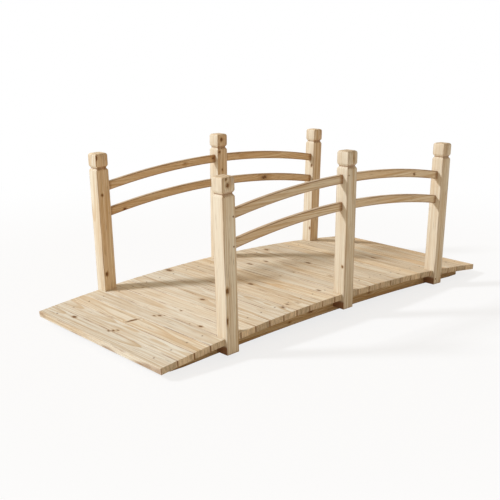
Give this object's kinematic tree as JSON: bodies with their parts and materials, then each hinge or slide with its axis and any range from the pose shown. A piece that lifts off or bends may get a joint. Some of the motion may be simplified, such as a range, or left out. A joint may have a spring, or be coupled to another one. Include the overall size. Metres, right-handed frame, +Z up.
{
  "type": "moon bridge",
  "caption": "Small arched garden footbridge of plain softwood boards, with square capped posts and two curved rails on each side.",
  "frame": {"origin": "on the ground, midway between the deck's ends and between its sides", "axes": "+X along the span, +Y across the deck, +Z up"},
  "size_m": [1.4986, 0.656, 0.544],
  "materials": {
    "deck_wood": "planed, unpainted softwood",
    "stringer_wood": "sawn, unpainted softwood",
    "post_wood": "planed, unpainted softwood",
    "rail_wood": "planed, unpainted softwood"
  },
  "bodies": {
    "root": {"deck_board_01": "deck_wood", "deck_board_02": "deck_wood", "deck_board_03": "deck_wood", "deck_board_04": "deck_wood", "deck_board_05": "deck_wood", "deck_board_06": "deck_wood", "deck_board_07": "deck_wood", "deck_board_08": "deck_wood", "deck_board_09": "deck_wood", "deck_board_10": "deck_wood", "deck_board_11": "deck_wood", "deck_board_12": "deck_wood", "deck_board_13": "deck_wood", "deck_board_14": "deck_wood", "deck_board_15": "deck_wood", "deck_board_16": "deck_wood", "deck_board_17": "deck_wood", "deck_board_18": "deck_wood", "deck_board_19": "deck_wood", "deck_board_20": "deck_wood", "deck_board_21": "deck_wood", "deck_board_22": "deck_wood", "deck_board_23": "deck_wood", "deck_board_24": "deck_wood", "deck_board_25": "deck_wood", "deck_board_26": "deck_wood", "front_stringer": "stringer_wood", "back_stringer": "stringer_wood", "middle_stringer": "stringer_wood", "front_left_post": "post_wood", "front_middle_post": "post_wood", "front_right_post": "post_wood", "back_left_post": "post_wood", "back_middle_post": "post_wood", "back_right_post": "post_wood", "front_left_upper_rail": "rail_wood", "front_left_lower_rail": "rail_wood", "front_right_upper_rail": "rail_wood", "front_right_lower_rail": "rail_wood", "back_left_upper_rail": "rail_wood", "back_left_lower_rail": "rail_wood", "back_right_upper_rail": "rail_wood", "back_right_lower_rail": "rail_wood"}
  },
  "joints": []
}
